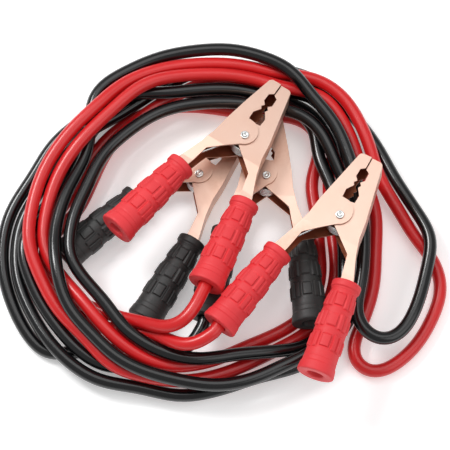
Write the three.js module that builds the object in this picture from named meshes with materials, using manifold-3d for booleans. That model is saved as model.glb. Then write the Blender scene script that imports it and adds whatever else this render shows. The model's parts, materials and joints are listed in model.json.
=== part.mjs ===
// A set of car jumper cables laid down in a loose pile: a red cable and a black cable, each with a
// spring clamp of copper-plated steel at both ends. Millimetres, +Z up, floor at z = 0.
import * as THREE from "three";
import * as BufferGeometryUtils from "three/addons/utils/BufferGeometryUtils.js";
import Module from "manifold-3d";

const wasm = await Module();
wasm.setup();

// Clamp, in its own frame: the rivet is the origin, +X points to the jaw tips, Z is the rivet's axis.
const JAW_LENGTH = 47;
const TIP_WIDTH = 16.7;
const SHOULDER_WIDTH = 35;
const ARM_DEPTH = 20;
const PLATE = 1.2;
const CLEARANCE = 0.3;
const JAW_GAP = 0.6;
const TANG_WIDTH = 9;
const TANG_DEPTH = 13;
const TANG_LENGTH = 46;
const TANG_FRONT = 1;

// Outer edge of a half, from the shoulder beside the rivet back to the neck before the tang
const JAW_BOW = 0.8;
const SHOULDER_FRONT = 4;
const SHOULDER_BACK = -8;
const SHOULDER_FLARE = 1.6;
const NECK_BACK = -20;
const NECK_FLARE = 5;
const TAPER_FRONT = -14;
const TAPER_BACK = -34;

// Inner edge of a half: the throat, the round lobe about the rivet, and the mouth with its teeth,
// each tooth point as its distance in front of the mouth's back and out from the middle
const THROAT = [-21.8, 17];
const LOBE_RADIUS = 10;
const LOBE_CENTRE = [2.5, 2.4];
const LOBE_FROM = THREE.MathUtils.degToRad(200);
const LOBE_TO = THREE.MathUtils.degToRad(341);
const LOBE_STEPS = 8;
const MOUTH_BACK = 12;
const TEETH = [[0.6, 4.6], [6.5, 4.9], [11.5, 1.5], [13.5, 2.7], [15.5, 1.1], [18, 3.4], [24, 3.2]];
const LIPS_BACK = 38;

// How far a cutting tool runs past what it cuts, and how far it reaches where it is open
const OVERRUN = 1;
const PAST = 40;

// Handles
const HANDLE_BACK = 38;
const HANDLE_SPREAD = 51;
const HANDLE_ANGLE = THREE.MathUtils.degToRad(9);

// Moulded grip, from its collar back to its free end
const GRIP_LENGTH = 66;
const COLLAR_RADIUS = 10;
const COLLAR_LENGTH = 5;
const COLLAR_EDGE = 0.6;
const WAIST_RADIUS = 9.1;
const WAIST_BACK = 11.2;
const CHEST_RADIUS = 11;
const CHEST_BACK = 22.4;
const BELLY_RADIUS = 12;
const BELLY_BACK = 36.3;
const END_RADIUS = 12.2;
const FLARE_LENGTH = 8;
const END_BAND = 3;
const END_HOLE_RADIUS = 5.5;
const END_HOLE_DEPTH = 16;
const GRIP_SIDES = 16;

// Rivet and torsion spring
const RIVET_RADIUS = 1.8;
const RIVET_HEAD_RADIUS = 3;
const RIVET_HEAD_HEIGHT = 1.1;
const RIVET_CROWN_RADIUS = 2.1;
const SPRING_RADIUS = 9.6;
const SPRING_WIRE = 2.2;
const SPRING_LENGTH = 12;
const SPRING_LEG_REACH = 30;
const SPRING_LEG_TURN = THREE.MathUtils.degToRad(124);
const ROUND_SIDES = 16;

// Cables
const CABLE_RADIUS = 4.5;
const CABLE_SIDES = 8;
const CABLE_SEAT = 6;
const CABLE_STEP = 19;

const MATERIALS = {
  copper: { color: 0xdba98a, roughness: 0.34, metalness: 1 },
  zinc: { color: 0xc4c4c0, roughness: 0.3, metalness: 1 },
  redGrip: { color: 0xe5383d, roughness: 0.62, metalness: 0 },
  blackGrip: { color: 0x3a3a38, roughness: 0.66, metalness: 0 },
  redCable: { color: 0xd42a2a, roughness: 0.42, metalness: 0 },
  blackCable: { color: 0x1b1b1c, roughness: 0.35, metalness: 0 },
};

// Where each clamp lies: rivet position, heading of the jaws, lift of the nose, roll to the right.
// moving is the side, left (1) or right (-1), of the half that turns; the cable leaves the other half.
const CLAMPS = [
  { name: "red_a", at: [19, 64, 39.5], heading: 57, lift: -5, roll: 0, moving: 1, finish: "redGrip" },
  { name: "red_b", at: [83, 4, 47.5], heading: 61, lift: -1, roll: -4, moving: -1, finish: "redGrip" },
  { name: "black_a", at: [-12, 47, 12.3], heading: 51, lift: 0, roll: 0, moving: 1, finish: "blackGrip" },
  { name: "black_b", at: [35, 44, 15.1], heading: 86, lift: -4, roll: -3, moving: -1, finish: "blackGrip" },
];

// The red cable's centre line, from the grip of clamp red_a to the grip of clamp red_b.
const RED_ROUTE = [
  [-4.5, -36.3, 48], [-10.2, -49, 49.2], [-15.4, -60.8, 50.3], [-24.5, -69, 47.5],
  [-37, -68.5, 40], [-49, -62.1, 31.2], [-61, -58, 24], [-81, -50, 19], [-112, -34, 15],
  [-129, -1, 8], [-106, 29, 7], [-94, 54, 6], [-81, 76, 5], [-56, 97, 5], [-26, 105, 5],
  [6, 102, 5], [28, 98, 5], [55, 96.5, 5], [69, 88, 5], [73.5, 72, 5], [66, 46, 5], [70, 22, 5],
  [71, -1, 5], [72, -23, 5], [61, -50, 5], [40, -64, 5], [21, -73, 9], [4, -82, 13],
  [-14, -88, 17], [-33, -90, 21], [-56, -81, 26], [-74, -66, 29], [-90, -46, 28], [-107, -26, 24],
  [-118, -6, 24], [-116, 22, 26], [-109, 44, 29], [-96, 65, 32], [-75, 88, 33], [-49, 111, 33],
  [-15, 119, 29], [18, 119, 26], [48, 112, 22], [76, 106, 19], [94, 78, 16], [102, 50, 13],
  [111, 22, 11], [110, -4, 9], [108, -32, 7], [98, -60, 6], [92, -72, 6], [93, -82.5, 6],
  [100.5, -90, 6], [112, -90.5, 6], [123, -84, 6], [136, -72, 6], [148, -52, 6], [155, -31, 6],
  [150, -11, 7], [138, 4, 9], [127, 23, 12], [113, 48, 15], [106, 73, 19], [91, 104, 20],
  [72, 119, 20], [41, 124, 21], [17, 129, 23], [-12, 129, 25], [-40, 124, 27], [-65, 112, 30],
  [-84, 93, 33], [-103, 73, 32], [-118, 49, 30], [-126, 23, 28], [-128, -4, 27], [-119, -29, 25],
  [-106, -52, 23], [-89, -69, 22], [-69, -90, 21], [-48, -96, 18], [-26, -99, 15], [-1, -95, 12],
  [23, -85, 10], [43, -74, 7], [63, -62, 5], [77, -42, 5], [83, -17, 5], [81, 6, 5], [79, 32, 5],
  [79, 53, 5], [85, 85, 5], [65, 115, 7], [22, 121, 10], [-5, 120, 14], [-35, 106, 14],
  [-60, 87, 14], [-76, 70, 12], [-88, 43, 10], [-97, 23, 9], [-117.5, 2.5, 6.5], [-119.5, -12, 6],
  [-89, -53, 10], [-86, -59, 16], [-50, -68, 22.5], [-38, -70.5, 30.5], [-28.6, -78.3, 38],
  [-15.3, -82.1, 44.5], [-3.2, -75.3, 46.9], [5.4, -64.2, 46.8],
];

// The black cable's centre line, from the grip of clamp black_a to the grip of clamp black_b.
const BLACK_ROUTE = [
  [-46.1, -50.5, 12.3], [-53.1, -62.7, 12.3], [-59.8, -72.3, 12], [-69, -77, 9.5],
  [-81, -76.5, 6.5], [-97, -75.5, 5], [-115, -78, 5], [-128, -65, 6], [-138, -47, 6],
  [-146, -24, 7], [-148, -1, 8], [-143, 23, 10], [-128, 49, 11], [-114, 74, 12], [-85, 97, 15],
  [-65, 107, 21], [-36, 107, 24], [-8, 111, 22], [15, 112, 19], [37, 107, 16], [68, 87, 14],
  [71, 62, 16], [81, 37, 17], [87, 4, 18], [87, -25, 19], [85, -53, 20], [69, -77, 21],
  [44, -90, 22], [23, -100, 23], [-1, -104, 24], [-24, -101, 26], [-45, -96, 28], [-65, -87, 30],
  [-83, -70, 31], [-100, -50, 32], [-108, -23, 34], [-110, 2, 30], [-103, 32, 27], [-90, 62, 23],
  [-85, 107, 24], [-59, 126, 24], [-37, 135, 25], [-13, 139, 26], [10, 139, 28], [32, 133, 29],
  [52, 122, 31], [67, 102, 30], [82, 83, 29], [92, 58, 28], [98, 32, 27], [101, 0, 25],
  [99, -29, 24], [94, -50, 22], [96.5, -61.5, 21], [104, -69.5, 20], [115, -72, 19],
  [126, -65.5, 18], [137, -45, 18], [144, -20, 17], [148, 2, 17], [138, 23, 14], [124, 48, 12],
  [112, 74, 10], [95, 98, 10], [78, 118, 10], [55, 129, 11], [24, 131, 12], [-8, 130, 14],
  [-38, 116, 14], [-66, 97, 13], [-102, 72, 15], [-121, 42, 12], [-136, 13, 10], [-137, -22, 10],
  [-124, -54, 12], [-106, -79, 14], [-81, -97, 13], [-52, -102, 11], [-23, -108, 10],
  [4, -103, 10], [27, -95, 10], [59, -86, 10], [82, -68, 12], [98, -36, 13], [101, -5, 15],
  [95, 26, 17], [85, 51, 21], [72, 80, 24], [60.5, 90.9, 23.3], [21, 101, 19], [-7, 101, 21],
  [-39, 94, 22], [-65, 75, 24], [-79, 59, 26], [-89, 35, 28], [-98, 11, 30], [-99, -17, 32],
  [-89, -32, 31], [-74, -49, 32], [-61.6, -66.6, 32.4], [-37, -82, 30], [-12, -87, 27],
  [13, -82, 22], [37, -79, 18], [61, -74, 12], [83, -51, 9], [92, -18, 10], [91, 14, 9],
  [88, 41, 10], [86, 71, 14], [70, 100, 13], [51, 110, 8], [15, 112, 6], [-13, 115, 5],
  [-46, 116, 5], [-77, 100, 5], [-99, 66, 6], [-112, 35, 12], [-133, -2, 18], [-125, -33, 17],
  [-110, -58, 16], [-91, -79, 15], [-75, -88, 12], [-50, -87, 12], [-24.1, -79.3, 16],
  [-14.8, -73.4, 19.5], [-9.7, -64.1, 20.9], [-6.5, -50.5, 20.1],
];

function solidOf(geometry) {
  const bare = geometry.clone();
  bare.deleteAttribute("normal");
  bare.deleteAttribute("uv");
  const merged = BufferGeometryUtils.mergeVertices(bare, 1e-4);
  return new wasm.Manifold(
    new wasm.Mesh({
      numProp: 3,
      vertProperties: new Float32Array(merged.attributes.position.array),
      triVerts: new Uint32Array(merged.index.array),
    }),
  );
}

function geometryOf(solid) {
  const mesh = solid.getMesh();
  const geometry = new THREE.BufferGeometry();
  geometry.setAttribute("position", new THREE.BufferAttribute(mesh.vertProperties, 3));
  geometry.setIndex(new THREE.BufferAttribute(mesh.triVerts, 1));
  return geometry;
}

// A prism over an outline in the XY plane, centred on z = 0.
function prism(points, depth) {
  const shape = new THREE.Shape(points.map(([x, y]) => new THREE.Vector2(x, y)));
  const geometry = new THREE.ExtrudeGeometry(shape, { depth, bevelEnabled: false });
  return geometry.translate(0, 0, -depth / 2);
}

// A prism over an outline in the XZ plane, centred on y = 0.
function sidePrism(points, width) {
  return prism(points, width).rotateX(Math.PI / 2);
}

// A turned solid about +Z from rows of [height, radius], closed on the axis.
function turned(rows, sides) {
  const profile = rows.map(([height, radius]) => new THREE.Vector2(radius, height));
  profile.unshift(new THREE.Vector2(0, rows[0][0]));
  profile.push(new THREE.Vector2(0, rows.at(-1)[0]));
  return new THREE.LatheGeometry(profile, sides).rotateX(Math.PI / 2);
}

function rod(radius, length, sides) {
  return new THREE.CylinderGeometry(radius, radius, length, sides).rotateX(Math.PI / 2);
}

const along = new THREE.Vector2(-Math.cos(HANDLE_ANGLE), Math.sin(HANDLE_ANGLE));
const across = new THREE.Vector2(Math.sin(HANDLE_ANGLE), Math.cos(HANDLE_ANGLE));

// A point of the left handle: so far behind the collar's front, and so far out from the grip's axis.
function handlePoint(back, out) {
  const x = -HANDLE_BACK + along.x * back + across.x * out;
  const y = HANDLE_SPREAD / 2 + along.y * back + across.y * out;
  return [x, y];
}

// The outer edge of the left half, from the jaw tip back to the end of the tang, moved in by inset.
function outerEdge(inset) {
  return [
    [JAW_LENGTH + (inset > 0 ? OVERRUN : 0), TIP_WIDTH / 2 - inset],
    [JAW_LENGTH / 2, (TIP_WIDTH + SHOULDER_WIDTH) / 4 + JAW_BOW - inset],
    [SHOULDER_FRONT, SHOULDER_WIDTH / 2 - inset],
    [SHOULDER_BACK, SHOULDER_WIDTH / 2 + SHOULDER_FLARE - inset],
    [NECK_BACK, SHOULDER_WIDTH / 2 + NECK_FLARE - inset],
    handlePoint(TANG_FRONT, TANG_WIDTH / 2 - inset),
    handlePoint(TANG_LENGTH + (inset > 0 ? OVERRUN : 0), TANG_WIDTH / 2 - inset),
  ];
}

// The inner edge of the left half: tang, throat, round lobe about the rivet, teeth, jaw tip.
function innerEdge() {
  const lobe = [];
  for (let step = 0; step <= LOBE_STEPS; step += 1) {
    const turn = THREE.MathUtils.lerp(LOBE_FROM, LOBE_TO, step / LOBE_STEPS);
    lobe.push([LOBE_CENTRE[0] + LOBE_RADIUS * Math.cos(turn), LOBE_CENTRE[1] + LOBE_RADIUS * Math.sin(turn)]);
  }
  return [
    handlePoint(TANG_LENGTH, -TANG_WIDTH / 2),
    handlePoint(TANG_FRONT, -TANG_WIDTH / 2),
    THROAT,
    ...lobe,
    ...TEETH.map(([forward, out]) => [MOUTH_BACK + forward, out]),
    [LIPS_BACK, JAW_GAP / 2],
    [JAW_LENGTH, JAW_GAP / 2],
  ];
}

// The room between the plates, open along the inner edge: it reaches far past that edge.
function hollowOutline() {
  return [...outerEdge(PLATE), handlePoint(TANG_LENGTH + OVERRUN, -PAST), [JAW_LENGTH + OVERRUN, -PAST]];
}

// The channel keeps its depth along the jaw and narrows to the tang inside the grip.
function sideOutline(depth, tangDepth, ends) {
  return [
    [JAW_LENGTH + ends, -depth / 2],
    [JAW_LENGTH + ends, depth / 2],
    [TAPER_FRONT, depth / 2],
    [TAPER_BACK, tangDepth / 2],
    [-HANDLE_BACK - TANG_LENGTH - ends, tangDepth / 2],
    [-HANDLE_BACK - TANG_LENGTH - ends, -tangDepth / 2],
    [TAPER_BACK, -tangDepth / 2],
    [TAPER_FRONT, -depth / 2],
  ];
}

// One half of a clamp: a channel of two toothed plates and the web that joins them.
function armGeometry(side, depth) {
  const tall = ARM_DEPTH * 2;
  const width = SHOULDER_WIDTH * 4;
  const depthInside = depth - 2 * PLATE;
  const tangInside = TANG_DEPTH - 2 * PLATE;
  const outside = solidOf(prism([...outerEdge(0), ...innerEdge()], tall))
    .intersect(solidOf(sidePrism(sideOutline(depth, TANG_DEPTH, OVERRUN), width)));
  const inside = solidOf(prism(hollowOutline(), tall))
    .intersect(solidOf(sidePrism(sideOutline(depthInside, tangInside, 2 * OVERRUN), width)));
  const hole = solidOf(rod(RIVET_RADIUS + CLEARANCE, tall, ROUND_SIDES));
  const arm = outside.subtract(inside).subtract(hole);
  return geometryOf(side > 0 ? arm : arm.mirror([0, 1, 0]));
}

function rivetGeometry() {
  const grip = ARM_DEPTH / 2 + CLEARANCE;
  const top = grip + RIVET_HEAD_HEIGHT;
  const rows = [
    [-top, RIVET_CROWN_RADIUS],
    [-grip - RIVET_HEAD_HEIGHT / 2, RIVET_HEAD_RADIUS],
    [-grip, RIVET_HEAD_RADIUS],
    [-grip, RIVET_RADIUS],
    [grip, RIVET_RADIUS],
    [grip, RIVET_HEAD_RADIUS],
    [grip + RIVET_HEAD_HEIGHT / 2, RIVET_HEAD_RADIUS],
    [top, RIVET_CROWN_RADIUS],
  ];
  return turned(rows, ROUND_SIDES);
}

// A leg of the spring, from the coil out to the inside of a web.
function legOutline(side, startRadius) {
  const neck = SHOULDER_WIDTH / 2 + NECK_FLARE - PLATE;
  const [tangX, tangY] = handlePoint(TANG_FRONT, TANG_WIDTH / 2 - PLATE);
  const web = THREE.MathUtils.mapLinear(-SPRING_LEG_REACH, NECK_BACK, tangX, neck, tangY);
  const tip = web - 2 * CLEARANCE;
  const start = [startRadius * Math.cos(SPRING_LEG_TURN), startRadius * Math.sin(SPRING_LEG_TURN)];
  const outline = [
    start,
    [-SPRING_LEG_REACH, tip],
    [-SPRING_LEG_REACH - SPRING_WIRE / 2, tip - SPRING_WIRE],
    [start[0] - SPRING_WIRE, start[1] - SPRING_WIRE / 2],
  ];
  return outline.map(([x, y]) => [x, side * y]);
}

function springGeometry(side) {
  const half = SPRING_LENGTH / 2;
  const drum = solidOf(turned([[-half, SPRING_RADIUS], [half, SPRING_RADIUS]], ROUND_SIDES));
  const bore = solidOf(rod(SPRING_RADIUS - SPRING_WIRE, SPRING_LENGTH * 2, ROUND_SIDES));
  const leg = solidOf(prism(legOutline(side, SPRING_RADIUS - SPRING_WIRE / 3), SPRING_WIRE));
  return geometryOf(drum.subtract(bore).add(leg));
}

function springLegGeometry(side) {
  return prism(legOutline(side, SPRING_RADIUS + SPRING_WIRE + CLEARANCE), SPRING_WIRE);
}

// The moulded grip about its own axis, collar at the origin and the free end at +Z.
function gripSolid(holeDepth) {
  const rows = [
    [0, COLLAR_RADIUS - COLLAR_EDGE],
    [COLLAR_EDGE, COLLAR_RADIUS],
    [COLLAR_LENGTH - COLLAR_EDGE, COLLAR_RADIUS],
    [COLLAR_LENGTH, WAIST_RADIUS],
    [WAIST_BACK, WAIST_RADIUS],
    [CHEST_BACK, CHEST_RADIUS],
    [BELLY_BACK, BELLY_RADIUS],
    [GRIP_LENGTH - FLARE_LENGTH, BELLY_RADIUS],
    [GRIP_LENGTH - END_BAND, END_RADIUS],
    [GRIP_LENGTH, END_RADIUS],
  ];
  const pocketDepth = TANG_LENGTH + OVERRUN;
  const pocketWidth = TANG_WIDTH + 2 * CLEARANCE;
  const pocket = new THREE.BoxGeometry(pocketWidth, TANG_DEPTH + 2 * CLEARANCE, pocketDepth + OVERRUN);
  pocket.translate(0, 0, (pocketDepth - OVERRUN) / 2);
  const hole = rod(END_HOLE_RADIUS, holeDepth + OVERRUN, ROUND_SIDES);
  hole.translate(0, 0, GRIP_LENGTH - (holeDepth - OVERRUN) / 2);
  return solidOf(turned(rows, GRIP_SIDES)).subtract(solidOf(pocket)).subtract(solidOf(hole));
}

// The grip laid on its handle: its X across the handle, its Y along the rivet's axis.
function gripGeometry(side, holeDepth) {
  const x = new THREE.Vector3(across.x, side * across.y, 0);
  const z = new THREE.Vector3(along.x, side * along.y, 0);
  const y = new THREE.Vector3().crossVectors(z, x);
  const [px, py] = handlePoint(0, 0);
  const place = new THREE.Matrix4().makeBasis(x, y, z).setPosition(px, side * py, 0);
  return geometryOf(gripSolid(holeDepth)).applyMatrix4(place);
}

function named(name, geometry, finish) {
  const mesh = new THREE.Mesh(geometry, new THREE.MeshStandardMaterial(MATERIALS[finish]));
  mesh.name = name;
  return mesh;
}

// A whole clamp in its own frame, turned and placed by the group that holds it.
function clamp({ name, at, heading, lift, roll, moving, finish }) {
  const group = new THREE.Group();
  const fixed = -moving;
  const innerDepth = ARM_DEPTH - 2 * (PLATE + CLEARANCE);
  const depthOf = (side) => (side > 0 ? ARM_DEPTH : innerDepth);
  group.add(
    named(`${name}_fixed_arm`, armGeometry(fixed, depthOf(fixed)), "copper"),
    named(`${name}_moving_arm`, armGeometry(moving, depthOf(moving)), "copper"),
    named(`${name}_rivet`, rivetGeometry(), "zinc"),
    named(`${name}_spring`, springGeometry(fixed), "zinc"),
    named(`${name}_spring_leg`, springLegGeometry(moving), "zinc"),
    named(`${name}_fixed_grip`, gripGeometry(fixed, CABLE_SEAT + CLEARANCE), finish),
    named(`${name}_moving_grip`, gripGeometry(moving, END_HOLE_DEPTH), finish),
  );
  const turn = new THREE.Matrix4().makeRotationZ(THREE.MathUtils.degToRad(heading));
  turn.multiply(new THREE.Matrix4().makeRotationY(THREE.MathUtils.degToRad(-lift)));
  turn.multiply(new THREE.Matrix4().makeRotationX(THREE.MathUtils.degToRad(roll)));
  group.setRotationFromMatrix(turn);
  group.position.set(...at);
  return group;
}

// A cable: a round section swept along a smooth curve through its points.
function cable(name, points, finish) {
  const line = points.map((point) => new THREE.Vector3(...point));
  const curve = new THREE.CatmullRomCurve3(line, false, "centripetal");
  const section = new THREE.Shape();
  for (let side = 0; side < CABLE_SIDES; side += 1) {
    const turn = ((side + 0.5) * 2 * Math.PI) / CABLE_SIDES;
    const [x, y] = [CABLE_RADIUS * Math.cos(turn), CABLE_RADIUS * Math.sin(turn)];
    if (side === 0) section.moveTo(x, y);
    else section.lineTo(x, y);
  }
  section.closePath();
  const steps = Math.round(curve.getLength() / CABLE_STEP);
  const geometry = new THREE.ExtrudeGeometry(section, { steps, extrudePath: curve, curveSegments: 1 });
  return named(name, geometry, finish);
}

const jumperCables = new THREE.Group();
for (const place of CLAMPS) jumperCables.add(clamp(place));
jumperCables.add(cable("red_cable", RED_ROUTE, "redCable"));
jumperCables.add(cable("black_cable", BLACK_ROUTE, "blackCable"));

export default jumperCables;
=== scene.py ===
"""A set of car jumper cables in a loose pile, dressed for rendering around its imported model."""

from __future__ import annotations

import json
import logging
import math
from dataclasses import dataclass, field
from enum import Enum

import bmesh
import bpy
from mathutils import Matrix, Vector

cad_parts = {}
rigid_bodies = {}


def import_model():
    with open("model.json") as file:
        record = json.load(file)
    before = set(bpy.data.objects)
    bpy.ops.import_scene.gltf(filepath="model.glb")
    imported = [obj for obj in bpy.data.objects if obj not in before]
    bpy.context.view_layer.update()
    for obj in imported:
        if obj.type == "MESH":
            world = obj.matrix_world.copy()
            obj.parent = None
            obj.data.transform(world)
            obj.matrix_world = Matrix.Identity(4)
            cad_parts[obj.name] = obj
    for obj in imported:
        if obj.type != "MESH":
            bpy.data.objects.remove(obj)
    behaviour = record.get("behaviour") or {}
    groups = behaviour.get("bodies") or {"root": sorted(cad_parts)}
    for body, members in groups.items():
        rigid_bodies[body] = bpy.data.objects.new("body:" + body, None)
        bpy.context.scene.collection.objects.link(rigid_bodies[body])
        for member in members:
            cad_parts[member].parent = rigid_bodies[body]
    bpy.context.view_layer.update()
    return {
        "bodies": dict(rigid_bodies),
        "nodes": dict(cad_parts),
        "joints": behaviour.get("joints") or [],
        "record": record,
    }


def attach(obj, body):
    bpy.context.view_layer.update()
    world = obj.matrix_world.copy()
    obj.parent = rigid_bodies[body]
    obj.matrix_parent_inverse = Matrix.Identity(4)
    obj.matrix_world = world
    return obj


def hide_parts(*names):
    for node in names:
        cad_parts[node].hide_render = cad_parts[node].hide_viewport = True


log = logging.getLogger("jumper_cables")

Point = tuple[float, float, float]
Row = tuple[float, float]
Colour = tuple[float, float, float, float]
MM = 0.001

# Clamp, in its own frame: the rivet is the origin, +X points to the jaw tips, Z is the rivet's axis.
ARM_DEPTH = 20 * MM
JAW_LENGTH = 47 * MM
TIP_WIDTH = 16.7 * MM
PLATE = 1.2 * MM
CLEARANCE = 0.3 * MM
HANDLE_BACK = 38 * MM
HANDLE_SPREAD = 51 * MM
HANDLE_ANGLE = math.radians(9)
GRIP_LENGTH = 66 * MM
CABLE_RADIUS = 4.5 * MM
CABLE_SEAT = 6 * MM

# The face attribute that marks the faces within a channel, where the copper takes a painted shade.
PAINTED_SHADE_FACES = "painted_inside_shade"


class Side(Enum):
    """The half of a clamp, seen from above with the jaws pointing away."""

    LEFT = 1
    RIGHT = -1

    @property
    def other(self) -> Side:
        """The opposite half."""
        return Side(-self.value)


@dataclass(frozen=True)
class ClampPlace:
    """Where one clamp lies and which of its halves turns."""

    name: str
    at: Point
    heading: float
    lift: float
    roll: float
    moving: Side

    @property
    def matrix(self) -> Matrix:
        """The clamp's own frame in the row frame."""
        turn = Matrix.Rotation(math.radians(self.heading), 4, "Z")
        turn @= Matrix.Rotation(math.radians(-self.lift), 4, "Y")
        turn @= Matrix.Rotation(math.radians(self.roll), 4, "X")
        return Matrix.Translation(self.at) @ turn

    def body(self, side: Side) -> str:
        """The CAD body that a half of this clamp rides on."""
        return f"{self.name}_lever" if side is self.moving else "cables"

    def part(self, side: Side) -> str:
        """The word that the CAD nodes of a half are named with."""
        return "moving" if side is self.moving else "fixed"


# The cables' centre lines in millimetres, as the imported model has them.
RED_ROUTE: list[Point] = [
    (-4.5, -36.3, 48), (-10.2, -49, 49.2), (-15.4, -60.8, 50.3), (-24.5, -69, 47.5),
    (-37, -68.5, 40), (-49, -62.1, 31.2), (-61, -58, 24), (-81, -50, 19), (-112, -34, 15),
    (-129, -1, 8), (-106, 29, 7), (-94, 54, 6), (-81, 76, 5), (-56, 97, 5), (-26, 105, 5),
    (6, 102, 5), (28, 98, 5), (55, 96.5, 5), (69, 88, 5), (73.5, 72, 5), (66, 46, 5), (70, 22, 5),
    (71, -1, 5), (72, -23, 5), (61, -50, 5), (40, -64, 5), (21, -73, 9), (4, -82, 13),
    (-14, -88, 17), (-33, -90, 21), (-56, -81, 26), (-74, -66, 29), (-90, -46, 28), (-107, -26, 24),
    (-118, -6, 24), (-116, 22, 26), (-109, 44, 29), (-96, 65, 32), (-75, 88, 33), (-49, 111, 33),
    (-15, 119, 29), (18, 119, 26), (48, 112, 22), (76, 106, 19), (94, 78, 16), (102, 50, 13),
    (111, 22, 11), (110, -4, 9), (108, -32, 7), (98, -60, 6), (92, -72, 6), (93, -82.5, 6),
    (100.5, -90, 6), (112, -90.5, 6), (123, -84, 6), (136, -72, 6), (148, -52, 6), (155, -31, 6),
    (150, -11, 7), (138, 4, 9), (127, 23, 12), (113, 48, 15), (106, 73, 19), (91, 104, 20),
    (72, 119, 20), (41, 124, 21), (17, 129, 23), (-12, 129, 25), (-40, 124, 27), (-65, 112, 30),
    (-84, 93, 33), (-103, 73, 32), (-118, 49, 30), (-126, 23, 28), (-128, -4, 27), (-119, -29, 25),
    (-106, -52, 23), (-89, -69, 22), (-69, -90, 21), (-48, -96, 18), (-26, -99, 15), (-1, -95, 12),
    (23, -85, 10), (43, -74, 7), (63, -62, 5), (77, -42, 5), (83, -17, 5), (81, 6, 5), (79, 32, 5),
    (79, 53, 5), (85, 85, 5), (65, 115, 7), (22, 121, 10), (-5, 120, 14), (-35, 106, 14),
    (-60, 87, 14), (-76, 70, 12), (-88, 43, 10), (-97, 23, 9), (-117.5, 2.5, 6.5), (-119.5, -12, 6),
    (-89, -53, 10), (-86, -59, 16), (-50, -68, 22.5), (-38, -70.5, 30.5), (-28.6, -78.3, 38),
    (-15.3, -82.1, 44.5), (-3.2, -75.3, 46.9), (5.4, -64.2, 46.8),
]

BLACK_ROUTE: list[Point] = [
    (-46.1, -50.5, 12.3), (-53.1, -62.7, 12.3), (-59.8, -72.3, 12), (-69, -77, 9.5),
    (-81, -76.5, 6.5), (-97, -75.5, 5), (-115, -78, 5), (-128, -65, 6), (-138, -47, 6),
    (-146, -24, 7), (-148, -1, 8), (-143, 23, 10), (-128, 49, 11), (-114, 74, 12), (-85, 97, 15),
    (-65, 107, 21), (-36, 107, 24), (-8, 111, 22), (15, 112, 19), (37, 107, 16), (68, 87, 14),
    (71, 62, 16), (81, 37, 17), (87, 4, 18), (87, -25, 19), (85, -53, 20), (69, -77, 21),
    (44, -90, 22), (23, -100, 23), (-1, -104, 24), (-24, -101, 26), (-45, -96, 28), (-65, -87, 30),
    (-83, -70, 31), (-100, -50, 32), (-108, -23, 34), (-110, 2, 30), (-103, 32, 27), (-90, 62, 23),
    (-85, 107, 24), (-59, 126, 24), (-37, 135, 25), (-13, 139, 26), (10, 139, 28), (32, 133, 29),
    (52, 122, 31), (67, 102, 30), (82, 83, 29), (92, 58, 28), (98, 32, 27), (101, 0, 25),
    (99, -29, 24), (94, -50, 22), (96.5, -61.5, 21), (104, -69.5, 20), (115, -72, 19),
    (126, -65.5, 18), (137, -45, 18), (144, -20, 17), (148, 2, 17), (138, 23, 14), (124, 48, 12),
    (112, 74, 10), (95, 98, 10), (78, 118, 10), (55, 129, 11), (24, 131, 12), (-8, 130, 14),
    (-38, 116, 14), (-66, 97, 13), (-102, 72, 15), (-121, 42, 12), (-136, 13, 10), (-137, -22, 10),
    (-124, -54, 12), (-106, -79, 14), (-81, -97, 13), (-52, -102, 11), (-23, -108, 10),
    (4, -103, 10), (27, -95, 10), (59, -86, 10), (82, -68, 12), (98, -36, 13), (101, -5, 15),
    (95, 26, 17), (85, 51, 21), (72, 80, 24), (60.5, 90.9, 23.3), (21, 101, 19), (-7, 101, 21),
    (-39, 94, 22), (-65, 75, 24), (-79, 59, 26), (-89, 35, 28), (-98, 11, 30), (-99, -17, 32),
    (-89, -32, 31), (-74, -49, 32), (-61.6, -66.6, 32.4), (-37, -82, 30), (-12, -87, 27),
    (13, -82, 22), (37, -79, 18), (61, -74, 12), (83, -51, 9), (92, -18, 10), (91, 14, 9),
    (88, 41, 10), (86, 71, 14), (70, 100, 13), (51, 110, 8), (15, 112, 6), (-13, 115, 5),
    (-46, 116, 5), (-77, 100, 5), (-99, 66, 6), (-112, 35, 12), (-133, -2, 18), (-125, -33, 17),
    (-110, -58, 16), (-91, -79, 15), (-75, -88, 12), (-50, -87, 12), (-24.1, -79.3, 16),
    (-14.8, -73.4, 19.5), (-9.7, -64.1, 20.9), (-6.5, -50.5, 20.1),
]


def smoothstep(low: float, high: float, value: float) -> float:
    """A soft step from 0 at low to 1 at high."""
    t = min(max((value - low) / (high - low), 0.0), 1.0)
    return t * t * (3 - 2 * t)


class NodeTree:
    """A thin helper that adds nodes to a tree and wires them.

    Args:
        tree: The shader or geometry node tree to fill.
    """

    def __init__(self, tree: bpy.types.NodeTree) -> None:
        self.tree = tree

    def add(self, kind: str, inputs: dict | None = None, **settings: object) -> bpy.types.Node:
        """Adds a node.

        Args:
            kind: The node's type name.
            inputs: Values or sockets for its inputs, by name or index.
            settings: Properties of the node itself.

        Returns:
            The new node.
        """
        node = self.tree.nodes.new(kind)
        for key, value in settings.items():
            setattr(node, key, value)
        for key, value in (inputs or {}).items():
            if isinstance(value, bpy.types.NodeSocket):
                self.tree.links.new(value, node.inputs[key])
            else:
                node.inputs[key].default_value = value
        return node

    def link(self, source: bpy.types.NodeSocket, target: bpy.types.NodeSocket) -> None:
        """Wires one socket to another."""
        self.tree.links.new(source, target)


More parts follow.
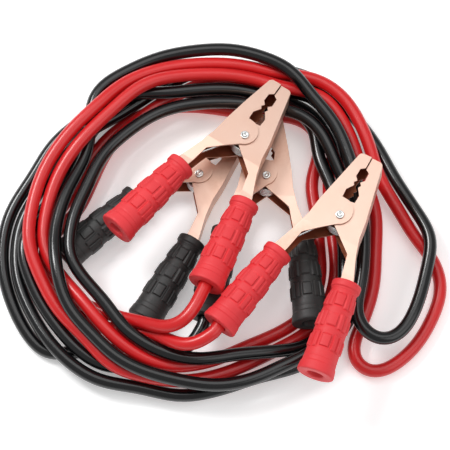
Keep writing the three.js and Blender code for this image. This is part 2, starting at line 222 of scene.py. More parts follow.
def new_group(name: str, sockets: list[tuple[str, str, str, object]]
              ) -> tuple[NodeTree, bpy.types.Node, bpy.types.Node]:
    """Starts a shader node group.

    Args:
        name: The group's name.
        sockets: Rows of name, "INPUT" or "OUTPUT", socket type and default value.

    Returns:
        The tree helper, the group's input node and its output node.
    """
    group = bpy.data.node_groups.new(name, "ShaderNodeTree")
    for label, way, kind, default in sockets:
        socket = group.interface.new_socket(name=label, in_out=way, socket_type=kind)
        if default is not None:
            socket.default_value = default
    tree = NodeTree(group)
    return tree, tree.add("NodeGroupInput"), tree.add("NodeGroupOutput")


def surface_grain() -> bpy.types.NodeTree:
    """The fine unevenness that every finish shares: a tint mask, a roughness mask and a height."""
    sockets = [
        ("Scale", "INPUT", "NodeSocketFloat", 300.0),
        ("Blotch Scale", "INPUT", "NodeSocketFloat", 40.0),
        ("Tint", "OUTPUT", "NodeSocketFloat", None),
        ("Height", "OUTPUT", "NodeSocketFloat", None),
    ]
    tree, taken, given = new_group("surface_grain", sockets)
    place = tree.add("ShaderNodeTexCoord")
    blotch = tree.add("ShaderNodeTexNoise",
                      {"Vector": place.outputs["Object"], "Detail": 3.0, "Roughness": 0.6})
    tree.link(taken.outputs["Blotch Scale"], blotch.inputs["Scale"])
    fine = tree.add("ShaderNodeTexNoise",
                    {"Vector": place.outputs["Object"], "Detail": 4.0, "Roughness": 0.65})
    tree.link(taken.outputs["Scale"], fine.inputs["Scale"])
    tint = tree.add("ShaderNodeMapRange",
                    {"Value": blotch.outputs["Fac"], "From Min": 0.32, "From Max": 0.68})
    tree.link(tint.outputs["Result"], given.inputs["Tint"])
    tree.link(fine.outputs["Fac"], given.inputs["Height"])
    return tree.tree


def rolling_streaks() -> bpy.types.NodeTree:
    """Faint lines that rolling and stamping leave on sheet metal, as a mask."""
    sockets = [
        ("Scale", "INPUT", "NodeSocketFloat", 120.0),
        ("Stretch", "INPUT", "NodeSocketVector", (0.06, 1.0, 1.0)),
        ("Mask", "OUTPUT", "NodeSocketFloat", None),
    ]
    tree, taken, given = new_group("rolling_streaks", sockets)
    place = tree.add("ShaderNodeTexCoord")
    turned = tree.add("ShaderNodeVectorRotate",
                      {"Vector": place.outputs["Object"], "Angle": math.radians(62)})
    drawn = tree.add("ShaderNodeVectorMath", {0: turned.outputs["Vector"]}, operation="MULTIPLY")
    tree.link(taken.outputs["Stretch"], drawn.inputs[1])
    noise = tree.add("ShaderNodeTexNoise",
                     {"Vector": drawn.outputs["Vector"], "Detail": 5.0, "Roughness": 0.7})
    tree.link(taken.outputs["Scale"], noise.inputs["Scale"])
    tree.link(noise.outputs["Fac"], given.inputs["Mask"])
    return tree.tree


def edge_tint_mask() -> bpy.types.NodeTree:
    """A mask of the sharpest outer edges, where a finish takes its edge colour: paler on the grips and the
    zinc, darker brown on the copper.
    """
    sockets = [
        ("Low", "INPUT", "NodeSocketFloat", 0.52),
        ("High", "INPUT", "NodeSocketFloat", 0.6),
        ("Breakup Scale", "INPUT", "NodeSocketFloat", 400.0),
        ("Mask", "OUTPUT", "NodeSocketFloat", None),
    ]
    tree, taken, given = new_group("edge_tint_mask", sockets)
    shape = tree.add("ShaderNodeNewGeometry")
    place = tree.add("ShaderNodeTexCoord")
    edge = tree.add("ShaderNodeMapRange", {"Value": shape.outputs["Pointiness"]})
    tree.link(taken.outputs["Low"], edge.inputs["From Min"])
    tree.link(taken.outputs["High"], edge.inputs["From Max"])
    noise = tree.add("ShaderNodeTexNoise", {"Vector": place.outputs["Object"], "Detail": 2.0})
    tree.link(taken.outputs["Breakup Scale"], noise.inputs["Scale"])
    broken = tree.add("ShaderNodeMath", {0: edge.outputs["Result"], 1: noise.outputs["Fac"]},
                      operation="MULTIPLY")
    tree.link(broken.outputs["Value"], given.inputs["Mask"])
    return tree.tree


class Groups:
    """The shared node groups, each built once."""

    def __init__(self) -> None:
        self.grain = surface_grain()
        self.streaks = rolling_streaks()
        self.edge_tint = edge_tint_mask()


@dataclass(frozen=True)
class Finish:
    """One surface finish and the values that its material takes.

    Args:
        name: The material's name.
        colour: The base colour.
        shade: The colour of blotches and hollows.
        edge_colour: The colour that the sharpest edges take.
        metal: 1 for bare or plated metal.
        roughness: The middle roughness.
        roughness_spread: How far the roughness wanders either way.
        grain: Scale of the fine grain.
        blotch: Scale of the tint blotches.
        bump: Strength of the grain's relief.
        edge_tint: How strongly edges take the edge colour.
        streaks: How strongly rolling lines mark the surface.
        coat: Weight of a clear gloss over it.
        painted_inside_shade: The painted shade colour of faces that the mesh marks as lying within a
            channel, where it has any.
    """

    name: str
    colour: Colour
    shade: Colour
    edge_colour: Colour
    metal: float
    roughness: float
    roughness_spread: float
    grain: float
    blotch: float
    bump: float
    edge_tint: float
    streaks: float = 0.0
    coat: float = 0.0
    painted_inside_shade: Colour | None = None

    def material(self, groups: Groups) -> bpy.types.Material:
        """Builds the material.

        Args:
            groups: The shared node groups.

        Returns:
            The finished material.
        """
        made = bpy.data.materials.new(self.name)
        made.use_nodes = True
        made.diffuse_color = self.colour
        tree = NodeTree(made.node_tree)
        shader = made.node_tree.nodes["Principled BSDF"]
        shader.inputs["Metallic"].default_value = self.metal
        shader.inputs["Coat Weight"].default_value = self.coat
        shader.inputs["Coat Roughness"].default_value = 0.12
        grain = tree.add("ShaderNodeGroup", node_tree=groups.grain)
        grain.inputs["Scale"].default_value = self.grain
        grain.inputs["Blotch Scale"].default_value = self.blotch
        edge_tint = tree.add("ShaderNodeGroup", node_tree=groups.edge_tint)
        blend = tree.add("ShaderNodeMix", {"Factor": grain.outputs["Tint"]}, data_type="RGBA")
        blend.inputs["A"].default_value = self.colour
        blend.inputs["B"].default_value = self.shade
        # Sharp edges take the edge colour: paler on the grips and the zinc, darker brown on the copper.
        edge_amount = tree.add("ShaderNodeMath", {0: edge_tint.outputs["Mask"], 1: self.edge_tint},
                             operation="MULTIPLY")
        edge_tinted = tree.add("ShaderNodeMix", {"Factor": edge_amount.outputs["Value"]}, data_type="RGBA")
        tree.link(blend.outputs["Result"], edge_tinted.inputs["A"])
        edge_tinted.inputs["B"].default_value = self.edge_colour
        colour = edge_tinted.outputs["Result"]
        # Faces marked as lying within a channel get a painted shade: a dark copper brown in place of the
        # lit colour.
        if self.painted_inside_shade:
            painted_shade_mask = tree.add("ShaderNodeAttribute", attribute_name=PAINTED_SHADE_FACES)
            painted_shade_mix = tree.add("ShaderNodeMix", {"Factor": painted_shade_mask.outputs["Fac"]}, data_type="RGBA")
            tree.link(colour, painted_shade_mix.inputs["A"])
            painted_shade_mix.inputs["B"].default_value = self.painted_inside_shade
            colour = painted_shade_mix.outputs["Result"]
        tree.link(colour, shader.inputs["Base Color"])
        low, high = self.roughness - self.roughness_spread, self.roughness + self.roughness_spread
        mask = grain.outputs["Height"]
        if self.streaks > 0:
            lines = tree.add("ShaderNodeGroup", node_tree=groups.streaks)
            mixed = tree.add("ShaderNodeMix",
                             {"Factor": self.streaks, "A": mask, "B": lines.outputs["Mask"]})
            mask = mixed.outputs["Result"]
        rough = tree.add("ShaderNodeMapRange", {"Value": mask, "From Min": 0.3, "From Max": 0.7,
                                                "To Min": low, "To Max": high})
        tree.link(rough.outputs["Result"], shader.inputs["Roughness"])
        bump = tree.add("ShaderNodeBump", {"Strength": self.bump, "Distance": 0.0002, "Height": mask})
        tree.link(bump.outputs["Normal"], shader.inputs["Normal"])
        return made


# The copper's last colour is a painted shade for the faces within its channels.
COPPER = Finish("copper_plate", (0.75, 0.525, 0.43, 1), (0.72, 0.475, 0.375, 1), (0.62, 0.36, 0.26, 1),
                0.8, 0.38, 0.06, 420, 28, 0.1, 0.8, streaks=0.6, painted_inside_shade=(0.52, 0.17, 0.085, 1))
ZINC = Finish("zinc", (0.74, 0.74, 0.72, 1), (0.62, 0.64, 0.64, 1), (0.86, 0.86, 0.84, 1),
              1.0, 0.28, 0.05, 500, 60, 0.05, 0.4)
RED_GRIP = Finish("red_grip", (0.76, 0.035, 0.043, 1), (0.7, 0.028, 0.036, 1), (0.86, 0.08, 0.08, 1),
                  0.0, 0.58, 0.06, 900, 50, 0.14, 0.3)
BLACK_GRIP = Finish("black_grip", (0.03, 0.03, 0.029, 1), (0.02, 0.02, 0.02, 1), (0.08, 0.08, 0.078, 1),
                    0.0, 0.54, 0.07, 900, 50, 0.18, 0.6)
RED_CABLE = Finish("red_cable", (0.64, 0.012, 0.014, 1), (0.58, 0.009, 0.011, 1), (0.7, 0.02, 0.02, 1),
                   0.0, 0.32, 0.02, 1600, 24, 0.012, 0.0, coat=0.1)
BLACK_CABLE = Finish("black_cable", (0.004, 0.004, 0.0045, 1), (0.0025, 0.0025, 0.003, 1),
                     (0.01, 0.01, 0.01, 1),
                     0.0, 0.22, 0.015, 1600, 24, 0.01, 0.0, coat=0.15)

# The point of the floor at the middle of the picture.
AIM = (6 * MM, 17 * MM)

CLAMPS: list[tuple[ClampPlace, Finish]] = [
    (ClampPlace("red_a", (19 * MM, 64 * MM, 39.5 * MM), 57, -5, 0, Side.LEFT), RED_GRIP),
    (ClampPlace("red_b", (83 * MM, 4 * MM, 47.5 * MM), 61, -1, -4, Side.RIGHT), RED_GRIP),
    (ClampPlace("black_a", (-12 * MM, 47 * MM, 12.3 * MM), 51, 0, 0, Side.LEFT), BLACK_GRIP),
    (ClampPlace("black_b", (35 * MM, 44 * MM, 15.1 * MM), 86, -4, -3, Side.RIGHT), BLACK_GRIP),
]


class Workshop:
    """Makes the materials and turns finished meshes into pieces of the object."""

    def __init__(self) -> None:
        groups = Groups()
        finishes = (COPPER, ZINC, RED_GRIP, BLACK_GRIP, RED_CABLE, BLACK_CABLE)
        self.materials = {finish.name: finish.material(groups) for finish in finishes}

    def piece(self, name: str, mesh: bpy.types.Mesh, finish: Finish, body: str,
              *nodes: str) -> bpy.types.Object:
        """Puts a mesh into the scene as a piece of the object.

        Args:
            name: The piece's name.
            mesh: Its mesh, with its place in its vertices.
            finish: Its finish.
            body: The CAD body that it rides on.
            nodes: The CAD nodes that it stands for.

        Returns:
            The new object.
        """
        made = bpy.data.objects.new(name, mesh)
        bpy.context.scene.collection.objects.link(made)
        mesh.materials.clear()
        mesh.materials.append(self.materials[finish.name])
        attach(made, body)
        if nodes:
            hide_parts(*nodes)
        log.info("%s: %d faces on %s", name, len(mesh.polygons), body)
        return made


def mesh_from(name: str, work: bmesh.types.BMesh, matrix: Matrix, sharp: float = math.radians(35),
              flat_area: float = math.inf) -> bpy.types.Mesh:
    """Finishes a bmesh: outward faces, smooth shading with sharp edges, its place in its vertices.

    Args:
        name: The mesh's name.
        work: The bmesh, which is freed.
        matrix: Where it goes.
        sharp: The angle past which an edge stays sharp.
        flat_area: The area past which a face is shaded flat.

    Returns:
        The finished mesh.
    """
    bmesh.ops.recalc_face_normals(work, faces=work.faces)
    work.transform(matrix)
    for face in work.faces:
        face.smooth = face.calc_area() < flat_area
    for edge in work.edges:
        edge.smooth = len(edge.link_faces) != 2 or edge.calc_face_angle(0) < sharp
    mesh = bpy.data.meshes.new(name)
    work.to_mesh(mesh)
    work.free()
    return mesh


def turned_mesh(work: bmesh.types.BMesh, rows: list[list[Point]]) -> None:
    """Skins rings of points, each ring joined to the next, with a cap at both ends.

    Args:
        work: The bmesh to add to.
        rows: The rings, all with as many points.
    """
    rings = [[work.verts.new(point) for point in row] for row in rows]
    count = len(rings[0])
    for near, far in zip(rings, rings[1:]):
        for i in range(count):
            j = (i + 1) % count
            work.faces.new((near[i], near[j], far[j], far[i]))
    work.faces.new(reversed(rings[0]))
    work.faces.new(rings[-1])


def ring(radius: float, height: float, sides: int) -> list[Point]:
    """A ring of points about Z."""
    turns = [2 * math.pi * i / sides for i in range(sides)]
    return [(radius * math.cos(turn), radius * math.sin(turn), height) for turn in turns]


def evaluated(obj: bpy.types.Object) -> bpy.types.Mesh:
    """The object's mesh with its modifiers applied; the object itself is removed."""
    graph = bpy.context.evaluated_depsgraph_get()
    mesh = bpy.data.meshes.new_from_object(obj.evaluated_get(graph), depsgraph=graph)
    bpy.data.objects.remove(obj)
    return mesh


def handle_frame(side: Side) -> Matrix:
    """The frame of a handle in the clamp's frame: Z back along the grip, X across it."""
    along = Vector((-math.cos(HANDLE_ANGLE), side.value * math.sin(HANDLE_ANGLE), 0))
    across = Vector((math.sin(HANDLE_ANGLE), side.value * math.cos(HANDLE_ANGLE), 0))
    upward = along.cross(across)
    frame = Matrix((across, upward, along)).transposed().to_4x4()
    frame.translation = Vector((-HANDLE_BACK, side.value * HANDLE_SPREAD / 2, 0))
    return frame


@dataclass
class Grip:
    """A moulded grip with its collar, rows of raised blocks and the open hole at its end.

    Args:
        sides: Points round it.
        step: Distance between its rings.
        block: Length along the grip and width across it of a block.
        rib: The same for the longer ribs between the blocks.
        rib_spread: How far apart the two ribs of a pair sit, as a share of a column.
        relief: How far blocks and ribs stand up.
        groove: Depth of the groove round each block and of the two rings.
        edge: Width of a block's flank.
        stations: Where the blocks sit along the grip.
        rings: Where the two fine rings run round the grip.
        columns: Rows of blocks round the grip.
        hole_radius: Radius of the hole in its end.
        hole_depth: Depth of that hole.
        profile: Rows of distance behind the collar's front and radius, in millimetres.
    """

    sides: int = 144
    step: float = 0.45 * MM
    block: tuple[float, float] = (8.6 * MM, 6.2 * MM)
    rib: tuple[float, float] = (11 * MM, 3.3 * MM)
    rib_spread: float = 0.25
    relief: float = 0.75 * MM
    groove: float = 0.28 * MM
    edge: float = 0.35 * MM
    stations: tuple[float, ...] = (14.5 * MM, 29.5 * MM, 44.5 * MM)
    rings: tuple[float, ...] = (7 * MM, 55.5 * MM)
    columns: int = 4
    hole_radius: float = 5.5 * MM
    hole_depth: float = 16 * MM
    profile: tuple[Row, ...] = (
        (0.0, 9.2), (0.35, 9.75), (1.0, 10.0), (4.3, 10.0), (4.9, 9.75), (5.2, 9.2), (6.5, 8.9), (11, 9.0),
        (16, 9.6), (22, 10.0), (29, 10.5), (36, 10.8), (44, 11.0), (52, 11.1), (59.2, 11.5), (60, 12.0),
        (64.5, 12.5), (65.6, 12.3), (66, 11.8),
    )

    def base_radius(self, back: float) -> float:
        """The grip's radius without its blocks, at a distance behind the collar's front."""
        at = back / MM
        for (low, near), (high, far) in zip(self.profile, self.profile[1:]):
            if at <= high:
                return (near + (far - near) * (at - low) / (high - low)) * MM
        return self.profile[-1][1] * MM

    def column_offset(self, turn: float, share: float) -> float:
        """How far round a point is from the nearest line that lies at a share of each column."""
        pitch = 2 * math.pi / self.columns
        return abs((turn - share * pitch + pitch / 2) % pitch - pitch / 2)

    def raised(self, back: float, turn: float) -> float:
        """The height of the relief at a point of the grip.

        Args:
            back: Distance behind the collar's front.
            turn: Angle round the grip.

        Returns:
            Height above the plain surface.
        """
        radius = self.base_radius(back)
        shapes = [(self.block, 0.0), (self.rib, 0.5 - self.rib_spread / 2),
                  (self.rib, 0.5 + self.rib_spread / 2)]
        outside = min(
            max(abs(back - station) - length / 2, self.column_offset(turn, share) * radius - width / 2)
            for station in self.stations for (length, width), share in shapes
        )
        height = self.relief * (1 - smoothstep(-self.edge, 0, outside))
        if outside > 0:
            height -= self.groove * (1 - smoothstep(self.edge, 2 * self.edge, outside))
        rings = sum(1 - smoothstep(0, 2 * self.edge, abs(back - at)) for at in self.rings)
        return height - self.groove * rings

    def build(self, name: str, place: ClampPlace, side: Side) -> bpy.types.Mesh:
        """Builds the grip's mesh in the row frame.

        Args:
            name: The mesh's name.
            place: The clamp that it belongs to.
            side: The half that it sits on.

        Returns:
            The grip's mesh.
        """
        work = bmesh.new()
        count = round(GRIP_LENGTH / self.step)
        backs = sorted({row[0] * MM for row in self.profile}
                       | {GRIP_LENGTH * i / count for i in range(count + 1)})
        front, end = self.base_radius(0), self.base_radius(GRIP_LENGTH)
        rows = [ring(front * 0.55, 0.6 * MM, self.sides), ring(front * 0.95, 0, self.sides)]
        for back in backs:
            row = []
            for i in range(self.sides):
                turn = 2 * math.pi * i / self.sides
                radius = self.base_radius(back) + self.raised(back, turn)
                row.append((radius * math.cos(turn), radius * math.sin(turn), back))
            rows.append(row)
        lip = 0.7 * MM
        rows += [
            ring(end - lip, GRIP_LENGTH + lip / 10, self.sides),
            ring(self.hole_radius + lip, GRIP_LENGTH, self.sides),
            ring(self.hole_radius, GRIP_LENGTH - lip, self.sides),
            ring(self.hole_radius - lip / 2, GRIP_LENGTH - self.hole_depth, self.sides),
        ]
        turned_mesh(work, rows)
        return mesh_from(name, work, place.matrix @ handle_frame(side), math.radians(60))


@dataclass
class Arm:
    """A stamped channel arm: the CAD arm with its bends rounded and its sheared edges eased.

    Args:
        corner: Radius of the outer corner at the tip.
        bend: Outside radius where a plate turns into the web.
        eased: Width of the rounding on every sheared edge.
        flat_area: The area past which a face is one of the flat plates.
    """

    corner: float = 2.4 * MM
    bend: float = 2.2 * MM
    eased: float = 0.22 * MM
    flat_area: float = 40e-6

    def build(self, name: str, source: bpy.types.Object, place: ClampPlace) -> bpy.types.Mesh:
        """Builds the arm's mesh in the row frame.

        Args:
            name: The mesh's name.
            source: The CAD arm.
            place: The clamp that it belongs to.

        Returns:
            The arm's mesh.
        """
        work = bmesh.new()
        work.from_mesh(source.data)
        work.transform(place.matrix.inverted())
        bmesh.ops.remove_doubles(work, verts=work.verts, dist=0.01 * MM)
        bmesh.ops.dissolve_limit(work, angle_limit=math.radians(2), verts=work.verts, edges=work.edges)
        corners = [edge for edge in work.edges if self.is_tip_corner(edge)]
        bmesh.ops.bevel(work, geom=corners, offset=self.corner, segments=5, profile=0.5, affect="EDGES",
                        clamp_overlap=True)
        bends = [edge for edge in work.edges if self.is_bend(edge)]
        bmesh.ops.bevel(work, geom=bends, offset=self.bend * 0.6, segments=4, profile=0.5, affect="EDGES",
                        clamp_overlap=True)
        sheared = [edge for edge in work.edges
                   if edge.is_manifold and edge.calc_face_angle(0) > math.radians(50)]
        bmesh.ops.bevel(work, geom=sheared, offset=self.eased, segments=2, profile=0.5, affect="EDGES",
                        clamp_overlap=True)
        bmesh.ops.recalc_face_normals(work, faces=work.faces)
        # Marks the faces within the channel, which the copper material paints with a darker shade colour.
        painted_shade_layer = work.faces.layers.float.new(PAINTED_SHADE_FACES)
        for face in work.faces:
            face[painted_shade_layer] = float(self.is_inside(face))
        return mesh_from(name, work, place.matrix, math.radians(30), self.flat_area)

    @staticmethod
    def is_inside(face: bmesh.types.BMFace) -> bool:
        """True for a face that looks towards the middle of its channel."""
        middle = face.calc_center_median()
        if abs(face.normal.z) > 0.3:
            return face.normal.z * middle.z < 0
        return face.normal.y * middle.y < 0 and abs(middle.z) < ARM_DEPTH / 2 - PLATE

    @staticmethod
    def is_tip_corner(edge: bmesh.types.BMEdge) -> bool:
        """True for the outer corner of a plate's tip."""
        low, high = (vertex.co for vertex in edge.verts)
        upright = abs(low.x - high.x) + abs(low.y - high.y) < 0.1 * MM
        return upright and low.x > JAW_LENGTH - 0.1 * MM and abs(low.y) > TIP_WIDTH / 2 - 0.1 * MM

    @staticmethod
    def is_bend(edge: bmesh.types.BMEdge) -> bool:
        """True for an edge between a flat plate and the outer face of the web."""
        if not edge.is_manifold or edge.calc_length() < 4 * MM:
            return False
        flat = [face for face in edge.link_faces if abs(face.normal.z) > 0.95]
        wall = [face for face in edge.link_faces if abs(face.normal.z) < 0.05]
        if len(flat) != 1 or len(wall) != 1 or not edge.is_convex:
            return False
        middle = (edge.verts[0].co + edge.verts[1].co) / 2
        outward = math.copysign(1.0, middle.y) * wall[0].normal.y
        return outward > 0.5 and abs(middle.y) > 8 * MM


@dataclass
class Rivet:
    """The rivet that the arms turn on, with a rolled rim and a small dome in its head."""

    radius: float = 3.0 * MM
    height: float = 1.1 * MM
    shaft: float = 1.8 * MM
    sides: int = 48

    def build(self, name: str, place: ClampPlace) -> bpy.types.Mesh:
        """Builds the rivet's mesh in the row frame."""
        seat = ARM_DEPTH / 2 + CLEARANCE
        top = seat + self.height
        head = [(self.shaft, seat), (self.radius, seat), (self.radius, seat + 0.35 * self.height),
                (self.radius * 0.9, top - 0.12 * MM), (self.radius * 0.72, top),
                (self.radius * 0.58, top - 0.1 * MM),
                (self.radius * 0.5, top - 0.4 * MM), (self.radius * 0.34, top - 0.42 * MM),
                (self.radius * 0.16, top - 0.2 * MM)]
        rows = [ring(radius, -height, self.sides) for radius, height in reversed(head)]
        rows += [ring(radius, height, self.sides) for radius, height in head]
        work = bmesh.new()
        turned_mesh(work, rows)
        return mesh_from(name, work, place.matrix, math.radians(50))


def spring_tree() -> bpy.types.NodeTree:
    """The Geometry Nodes tree that winds a coil and gives a wire its thickness."""
    group = bpy.data.node_groups.new("spring_wire", "GeometryNodeTree")
    group.interface.new_socket(name="Leg", in_out="INPUT", socket_type="NodeSocketGeometry")
    for label, kind, default in (("Turns", "NodeSocketFloat", 5.0),
                                 ("Coil Radius", "NodeSocketFloat", 8.5 * MM),
                                 ("Length", "NodeSocketFloat", 10 * MM),
                                 ("Wire Radius", "NodeSocketFloat", 1 * MM),
                                 ("Material", "NodeSocketMaterial", None)):
        socket = group.interface.new_socket(name=label, in_out="INPUT", socket_type=kind)
        if default is not None:
            socket.default_value = default
    group.interface.new_socket(name="Geometry", in_out="OUTPUT", socket_type="NodeSocketGeometry")
    tree = NodeTree(group)
    taken, given = tree.add("NodeGroupInput"), tree.add("NodeGroupOutput")
    coil = tree.add("GeometryNodeCurveSpiral", {"Resolution": 28, "Rotations": taken.outputs["Turns"],
                                                "Start Radius": taken.outputs["Coil Radius"],
                                                "End Radius": taken.outputs["Coil Radius"],
                                                "Height": taken.outputs["Length"]})
    down = tree.add("ShaderNodeMath", {0: taken.outputs["Length"], 1: -0.5}, operation="MULTIPLY")
    offset = tree.add("ShaderNodeCombineXYZ", {"Z": down.outputs["Value"]})
    centred = tree.add("GeometryNodeTransform",
                       {"Geometry": coil.outputs["Curve"], "Translation": offset.outputs["Vector"]})
    section = tree.add("GeometryNodeCurvePrimitiveCircle",
                       {"Resolution": 12, "Radius": taken.outputs["Wire Radius"]})
    joined = tree.add("GeometryNodeJoinGeometry")
    leg = tree.add("GeometryNodeMeshToCurve", {"Mesh": taken.outputs["Leg"]})
    tree.link(centred.outputs["Geometry"], joined.inputs["Geometry"])
    tree.link(leg.outputs["Curve"], joined.inputs["Geometry"])
    wire = tree.add("GeometryNodeCurveToMesh", {"Curve": joined.outputs["Geometry"],
                                                "Profile Curve": section.outputs["Curve"],
                                                "Fill Caps": True})
    smooth = tree.add("GeometryNodeSetShadeSmooth", {"Geometry": wire.outputs["Mesh"]})
    real = tree.add("GeometryNodeRealizeInstances", {"Geometry": smooth.outputs["Geometry"]})
    dressed = tree.add("GeometryNodeSetMaterial", {"Geometry": real.outputs["Geometry"],
                                                   "Material": taken.outputs["Material"]})
    tree.link(dressed.outputs["Geometry"], given.inputs["Geometry"])
    return group


@dataclass
class Spring:
    """The torsion spring: a wound coil about the rivet and a leg out to each arm.

    Args:
        radius: Radius of the coil at the middle of its wire.
        wire: Radius of the wire.
        turns: Turns in the coil.
        length: Length of the coil along the rivet.
        reach: How far back the legs go.
    """

    radius: float = 8.5 * MM
    wire: float = 1.05 * MM
    turns: float = 4.0
    length: float = 10.6 * MM
    reach: float = 30 * MM
    start_turn: float = math.radians(124)

    def leg(self, side: Side, outset: float) -> list[Point]:
        """The leg's line in the clamp's frame, from the coil to the inside of a web."""
        start = ((self.radius + outset) * math.cos(self.start_turn),
                 (self.radius + outset) * math.sin(self.start_turn))
        tip = 24.4 * MM
        bend = (-self.reach * 0.93, tip * 0.965)
        line = [start, ((start[0] + bend[0]) / 2, (start[1] + bend[1]) / 2 - 0.2 * MM), bend,
                (-self.reach - 1 * MM, tip)]
        return [(x, y * side.value, 0.0) for x, y in line]

    def build(self, name: str, place: ClampPlace, side: Side, coiled: bool, tree: bpy.types.NodeTree,
              material: bpy.types.Material) -> bpy.types.Mesh:
        """Builds the coil with its leg, or the other leg alone.

        Args:
            name: The mesh's name.
            place: The clamp that it belongs to.
            side: The half that the leg presses on.
            coiled: True for the coil and its leg.
            tree: The Geometry Nodes tree.
            material: The wire's material.

        Returns:
            The spring's mesh in the row frame.
        """
        points = self.leg(side, 0.0 if coiled else 2.4 * MM)
        line = bpy.data.meshes.new(name)
        line.from_pydata(points, [(i, i + 1) for i in range(len(points) - 1)], [])
        holder = bpy.data.objects.new(name, line)
        bpy.context.scene.collection.objects.link(holder)
        wind = holder.modifiers.new("wire", "NODES")
        wind.node_group = tree
        values = {"Turns": self.turns if coiled else 0.02, "Coil Radius": self.radius,
                  "Length": self.length,
                  "Wire Radius": self.wire, "Material": material}
        for item in tree.interface.items_tree:
            if item.in_out == "INPUT" and item.name in values:
                wind[item.identifier] = values[item.name]
        mesh = evaluated(holder)
        mesh.transform(place.matrix)
        return mesh


@dataclass
class Clamp:
    """One spring clamp: two arms, rivet, spring and two grips.

    Args:
        place: Where it lies.
        finish: The finish of its grips.
        arm: The arms' rounding.
        rivet: The rivet.
        spring: The spring.
    """

    place: ClampPlace
    finish: Finish
    arm: Arm = field(default_factory=Arm)
    rivet: Rivet = field(default_factory=Rivet)
    spring: Spring = field(default_factory=Spring)

    def build(self, shop: Workshop, nodes: dict[str, bpy.types.Object], tree: bpy.types.NodeTree) -> None:
        """Builds every piece of the clamp.

        Args:
            shop: Where materials and pieces are made.
            nodes: The CAD nodes by name.
            tree: The Geometry Nodes tree of the springs.
        """
        place = self.place
        for side in Side:
            half = place.part(side)
            node = f"{place.name}_{half}_arm"
            mesh = self.arm.build(f"{node}_dressed", nodes[node], place)
            shop.piece(f"{node}_dressed", mesh, COPPER, place.body(side), node)
            node = f"{place.name}_{half}_grip"
            grip = Grip() if side is place.moving else Grip(hole_depth=CABLE_SEAT + 0.5 * MM,
                                                            hole_radius=5.2 * MM)
            mesh = grip.build(f"{node}_dressed", place, side)
            shop.piece(f"{node}_dressed", mesh, self.finish, place.body(side), node)
        name = f"{place.name}_rivet"
        shop.piece(f"{name}_dressed", self.rivet.build(name, place), ZINC, "cables", name)
        zinc = shop.materials[ZINC.name]
        for side, node in ((place.moving.other, f"{place.name}_spring"),
                           (place.moving, f"{place.name}_spring_leg")):
            mesh = self.spring.build(node, place, side, side is not place.moving, tree, zinc)
            shop.piece(f"{node}_dressed", mesh, ZINC, place.body(side), node)


@dataclass
class Cable:
    """A free cable: a round jacket along a smooth curve through its points.

    Args:
        name: The CAD node that it stands for.
        route: Its points, in millimetres.
        finish: Its jacket's finish.
        spacing: Distance between the curve's own points.
        straight: Length at both ends that stays in line with its grip.
        easing: How many times the line is eased, which rounds its tight places.
    """

    name: str
    route: list[Point]
    finish: Finish
    spacing: float = 2.5 * MM
    straight: float = 15 * MM
    easing: int = 22

    def line(self) -> list[Vector]:
        """The smooth line through the route: a centripetal Catmull-Rom curve, then eased."""
        points = [Vector(point) * MM for point in self.route]
        points = [points[0] * 2 - points[1], *points, points[-1] * 2 - points[-2]]
        line = []
        for before, start, end, after in zip(points, points[1:], points[2:], points[3:]):
            first, span, last = (max((b - a).length ** 0.5, 1e-6)
                                 for a, b in ((before, start), (start, end), (end, after)))
            leave = ((start - before) / first - (end - before) / (first + span)
                     + (end - start) / span) * span
            arrive = ((end - start) / span - (after - start) / (span + last) + (after - end) / last) * span
            count = max(2, round((end - start).length / self.spacing))
            for i in range(count):
                t = i / count
                line.append(start * (2 * t**3 - 3 * t**2 + 1) + leave * (t**3 - 2 * t**2 + t)
                            + end * (3 * t**2 - 2 * t**3) + arrive * (t**3 - t**2))
        line.append(points[-2])
        straight = round(self.straight / self.spacing)
        for _ in range(self.easing):
            eased = list(line)
            for i in range(straight, len(line) - straight):
                eased[i] = line[i - 1] * 0.25 + line[i] * 0.5 + line[i + 1] * 0.25
            line = eased
        return line

    def build(self, shop: Workshop) -> bpy.types.Object:
        """Args:
            shop: Where materials are made.

        Returns:
            The cable's object.
        """
        line = self.line()
        curve = bpy.data.curves.new(self.name, "CURVE")
        curve.dimensions = "3D"
        curve.bevel_depth = CABLE_RADIUS
        curve.bevel_resolution = 6
        curve.use_fill_caps = True
        spline = curve.splines.new("POLY")
        spline.points.add(len(line) - 1)
        for point, at in zip(spline.points, line):
            point.co = (*at, 1.0)
        spline.use_smooth = True
        curve.materials.append(shop.materials[self.finish.name])
        made = bpy.data.objects.new(f"{self.name}_jacket", curve)
        bpy.context.scene.collection.objects.link(made)
        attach(made, "cables")
        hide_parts(self.name)
        return made


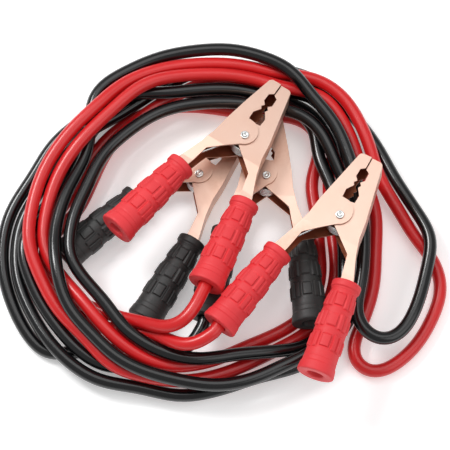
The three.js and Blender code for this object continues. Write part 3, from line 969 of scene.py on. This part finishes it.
@dataclass
class Studio:
    """The floor, the soft lights and the camera at the photograph's angle.

    Args:
        aim: The point on the floor that the picture's middle shows.
        elevation: The camera's height above the horizon, in degrees.
        distance: From the camera to that point.
        width: Width of floor that the picture spans there.
    """

    aim: Point
    elevation: float = 71.0
    distance: float = 1.2
    width: float = 0.315

    def camera(self) -> None:
        """Sets up the camera."""
        data = bpy.data.cameras.new("camera")
        data.sensor_width = 36
        data.sensor_fit = "HORIZONTAL"
        data.lens = data.sensor_width * self.distance / self.width
        made = bpy.data.objects.new("camera", data)
        bpy.context.scene.collection.objects.link(made)
        rise = math.radians(self.elevation)
        made.location = Vector(self.aim) + self.distance * Vector((0, -math.cos(rise), math.sin(rise)))
        made.rotation_euler = (math.pi / 2 - rise, 0, 0)
        bpy.context.scene.camera = made

    def floor(self) -> None:
        """Lays the floor."""
        work = bmesh.new()
        bmesh.ops.create_grid(work, x_segments=1, y_segments=1, size=6)
        mesh = mesh_from("floor", work, Matrix.Identity(4))
        made = bpy.data.objects.new("floor", mesh)
        bpy.context.scene.collection.objects.link(made)
        material = bpy.data.materials.new("floor")
        material.use_nodes = True
        shader = material.node_tree.nodes["Principled BSDF"]
        shader.inputs["Base Color"].default_value = (0.93, 0.93, 0.93, 1)
        shader.inputs["Roughness"].default_value = 0.75
        shader.inputs["Emission Color"].default_value = (1, 1, 1, 1)
        shader.inputs["Emission Strength"].default_value = 0.3
        mesh.materials.append(material)

    def light(self, name: str, at: Point, size: float, power: float) -> None:
        """Hangs one soft square light that faces the object.

        Args:
            name: Its name.
            at: Where it hangs.
            size: Its side.
            power: Its power in watts.
        """
        data = bpy.data.lights.new(name, "AREA")
        data.size = size
        data.energy = power
        made = bpy.data.objects.new(name, data)
        bpy.context.scene.collection.objects.link(made)
        made.location = at
        made.rotation_euler = (Vector(self.aim) - Vector(at)).to_track_quat("-Z", "Y").to_euler()

    def build(self) -> None:
        """Builds the whole studio."""
        self.camera()
        self.floor()
        self.light("key", (-0.75, 0.55, 1.15), 0.45, 12)
        self.light("fill", (0.9, -0.5, 1.0), 1.0, 4)
        self.light("top", (0.1, 0.4, 1.7), 1.2, 7)
        world = bpy.data.worlds.new("studio")
        world.use_nodes = True
        world.node_tree.nodes["Background"].inputs["Color"].default_value = (1, 1, 1, 1)
        world.node_tree.nodes["Background"].inputs["Strength"].default_value = 0.42
        bpy.context.scene.world = world
        bpy.context.scene.view_settings.view_transform = "Standard"


def main() -> None:
    """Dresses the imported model."""
    logging.basicConfig(level=logging.INFO, format="%(name)s %(message)s")
    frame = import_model()
    Studio(aim=(*AIM, 0.0)).build()
    shop = Workshop()
    Cable("red_cable", RED_ROUTE, RED_CABLE).build(shop)
    Cable("black_cable", BLACK_ROUTE, BLACK_CABLE).build(shop)
    tree = spring_tree()
    for place, finish in CLAMPS:
        Clamp(place, finish).build(shop, frame["nodes"], tree)


if __name__ == "__main__":
    main()
